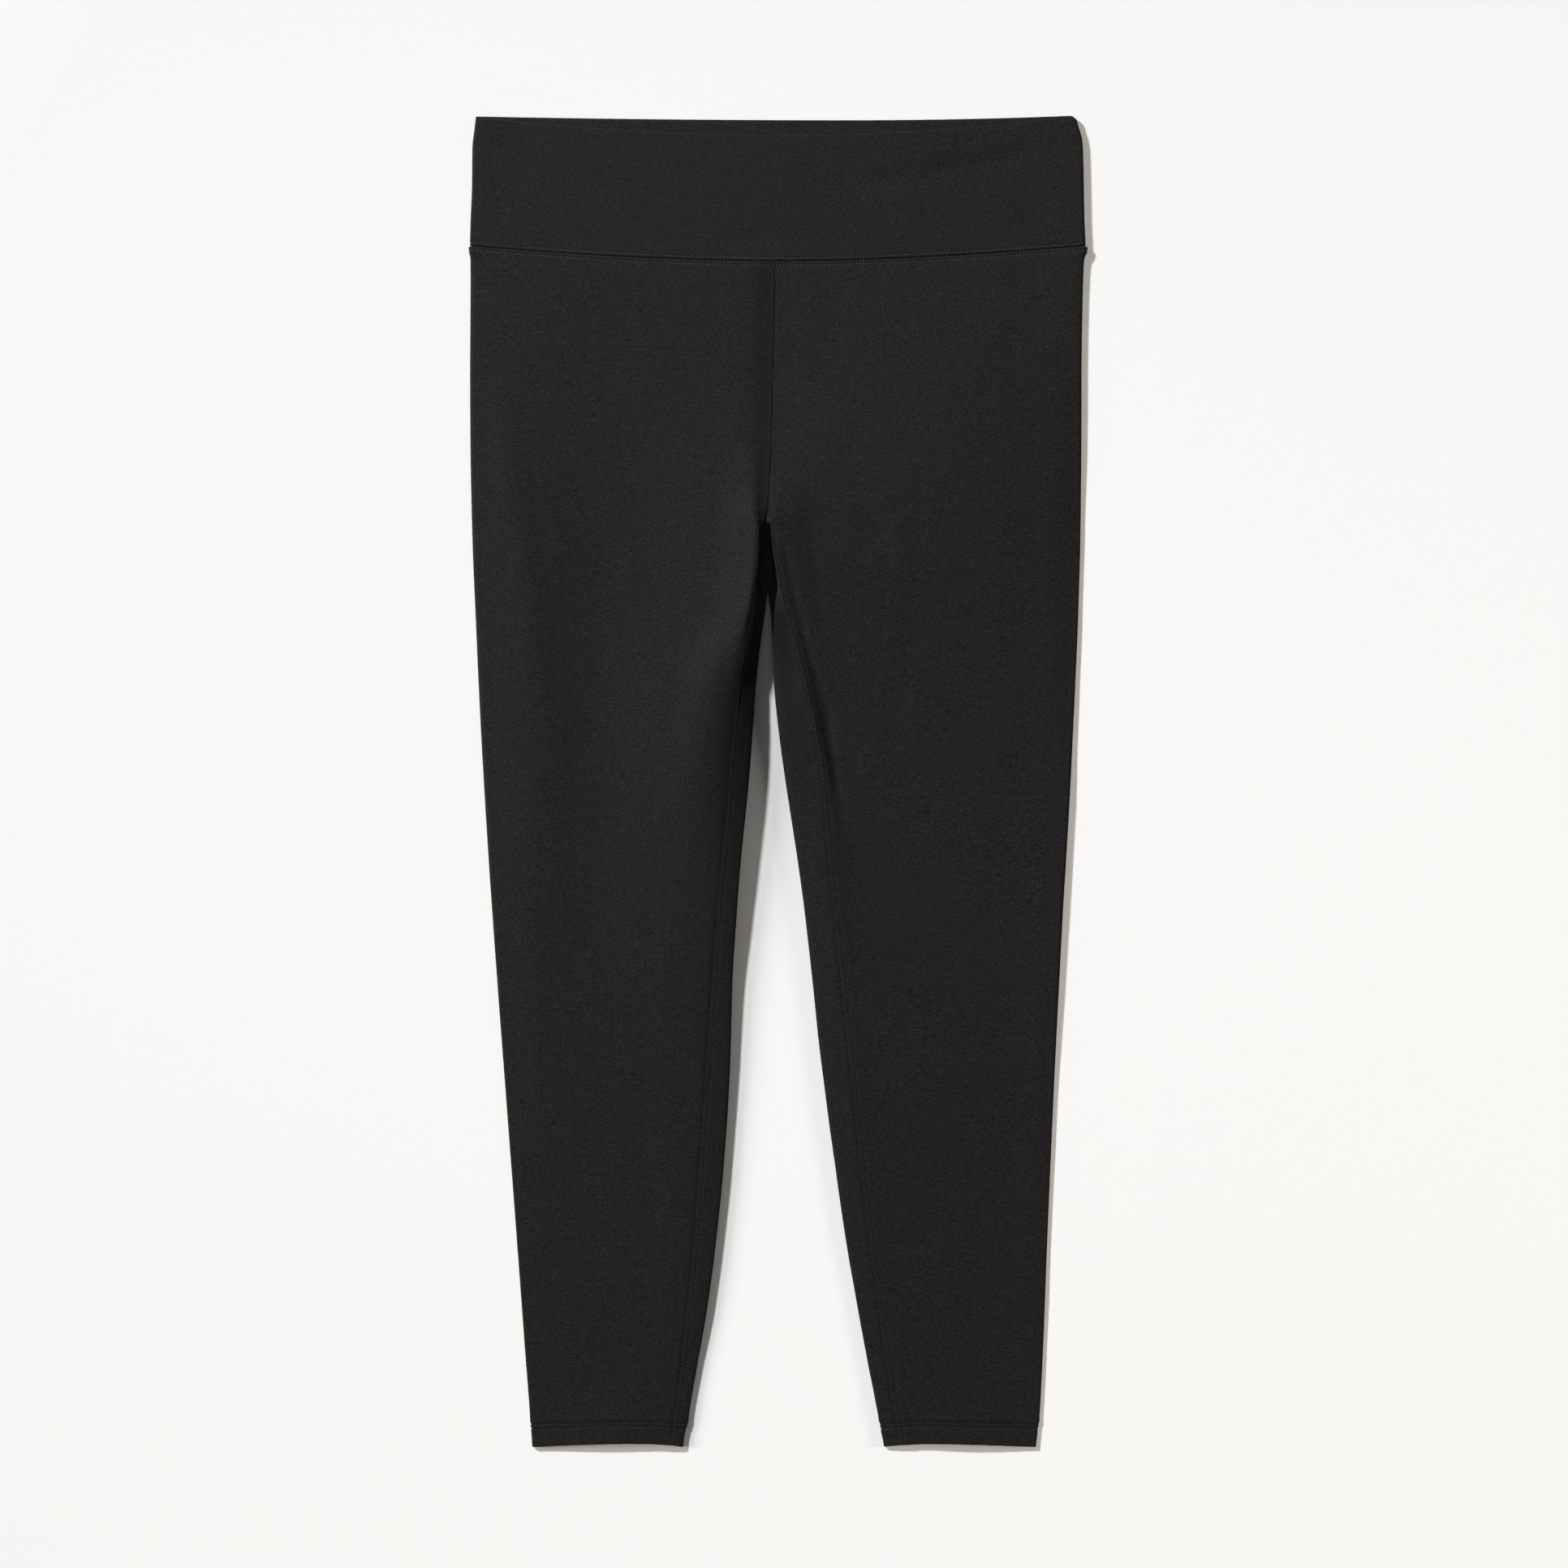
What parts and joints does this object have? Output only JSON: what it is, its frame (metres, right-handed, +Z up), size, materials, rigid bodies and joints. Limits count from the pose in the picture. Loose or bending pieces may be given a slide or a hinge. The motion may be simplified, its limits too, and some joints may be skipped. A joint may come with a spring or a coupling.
{
  "type": "leggings",
  "caption": "High-rise plus-size leggings in brushed knit, ending above the ankle, laid flat with the front up. Wide doubled waistband, tapered legs.",
  "frame": {"origin": "on the surface that the garment lies on, under the middle of its outline", "axes": "+X towards the wearer's left, +Y towards the waistband, +Z up out of the surface"},
  "size_m": [0.4266, 0.9184, 0.0201],
  "materials": {
    "waistband_front": "brushed matte knit",
    "waistband_back": "brushed matte knit",
    "leg_right": "brushed matte knit",
    "leg_left": "brushed matte knit"
  },
  "bodies": {
    "root": {"waistband_front": "waistband_front", "waistband_back": "waistband_back", "leg_right": "leg_right", "leg_left": "leg_left"}
  },
  "joints": []
}
